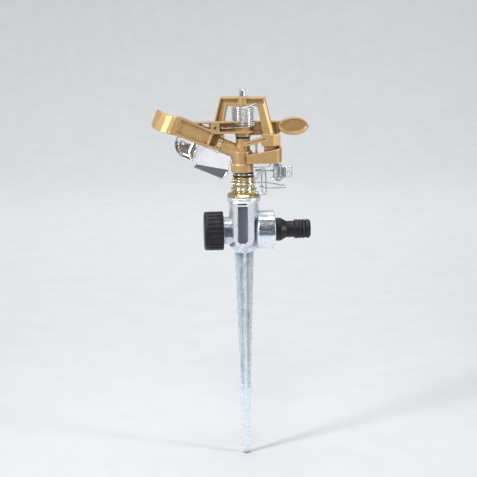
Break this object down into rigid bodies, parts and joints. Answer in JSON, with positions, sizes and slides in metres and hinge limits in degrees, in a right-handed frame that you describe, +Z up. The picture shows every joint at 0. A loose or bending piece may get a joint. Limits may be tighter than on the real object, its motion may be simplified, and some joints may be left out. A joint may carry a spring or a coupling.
{
  "type": "impact sprinkler",
  "caption": "Impact sprinkler on a ground spike: spring-loaded arm, trip lever, stop collars, deflector flap, screw cap and hose tail.",
  "frame": {"origin": "on the spike's axis at ground level, where the blade meets the body", "axes": "+Z up along the head's turning axis, +X towards the hose connector, -Y towards the side with the finger, trip lever and stop handles"},
  "size_m": [0.1388, 0.0417, 0.3343],
  "materials": {
    "gold_casting": "satin",
    "zinc_casting": "gloss",
    "brass": "polished",
    "spring_steel": "polished",
    "chrome_sheet": "mirror",
    "black_plastic": "satin",
    "black_rubber": "matte",
    "white_nylon": "matte"
  },
  "bodies": {
    "base": {"spike_base": "zinc_casting", "hose_connector": "black_plastic", "connector_o_ring": "black_rubber", "connector_seal": "black_rubber", "bearing_nipple": "brass", "nipple_seal": "black_rubber"},
    "cap_seal": {"cap_washer": "black_rubber"},
    "cap": {"outlet_cap": "black_plastic"},
    "head": {"head_body": "gold_casting", "nozzle": "brass", "fulcrum_pin": "spring_steel", "bearing_tube": "brass", "flange_washer": "white_nylon", "bearing_spring": "spring_steel", "lower_seal_ring": "black_rubber", "friction_ring": "spring_steel", "upper_seal_ring": "black_rubber", "arm_spring": "spring_steel", "trip_pin": "spring_steel", "pin_clip": "spring_steel", "trip_spring": "spring_steel", "flap_screw": "spring_steel"},
    "arm": {"impact_arm": "gold_casting", "arm_bushing": "black_plastic"},
    "lever": {"trip_lever": "spring_steel", "trip_finger": "spring_steel", "finger_brace": "spring_steel"},
    "upper_stop": {"upper_stop_collar": "spring_steel"},
    "lower_stop": {"lower_stop_collar": "spring_steel"},
    "flap": {"deflector_flap": "chrome_sheet", "flap_washer": "spring_steel"}
  },
  "joints": [
    {"name": "head_turn", "type": "hinge", "parent": "base", "child": "head", "pos_m": [0, 0, 0.062], "axis": [0, 0, 1], "range_deg": [-8, 255]},
    {"name": "arm_swing", "type": "hinge", "parent": "head", "child": "arm", "pos_m": [0, 0, 0.108], "axis": [0, 0, 1], "range_deg": [0, 100], "stiffness_Nm_per_rad": 0.03, "springref_deg": -20.05, "deforming": ["arm_spring"]},
    {"name": "lever_tilt", "type": "hinge", "parent": "head", "child": "lever", "pos_m": [0.0305, -0.0035, 0.07], "axis": [0, 0, 1], "range_deg": [-3, 4]},
    {"name": "upper_stop_turn", "type": "hinge", "parent": "base", "child": "upper_stop", "pos_m": [0, 0, 0.061], "axis": [0, 0, 1], "range_deg": [-38, 0]},
    {"name": "lower_stop_turn", "type": "hinge", "parent": "base", "child": "lower_stop", "pos_m": [0, 0, 0.0559], "axis": [0, 0, 1], "range_deg": [-110, 38]},
    {"name": "flap_tilt", "type": "hinge", "parent": "head", "child": "flap", "pos_m": [-0.0103, 0.0076, 0.0905], "axis": [0, 1, 0], "range_deg": [-6, 8]},
    {"name": "cap_travel", "type": "slide", "parent": "base", "child": "cap_seal", "axis": [-1, 0, 0], "range_m": [0, 0.0109]},
    {"name": "cap_turn", "type": "hinge", "parent": "cap_seal", "child": "cap", "pos_m": [-0.027, 0, 0.0181], "axis": [-1, 0, 0], "range_deg": [0, 2160]}
  ],
  "couplings": [
    {"joint": "cap_travel", "follows": "cap_turn", "m_per_rad": 0.00028871}
  ]
}
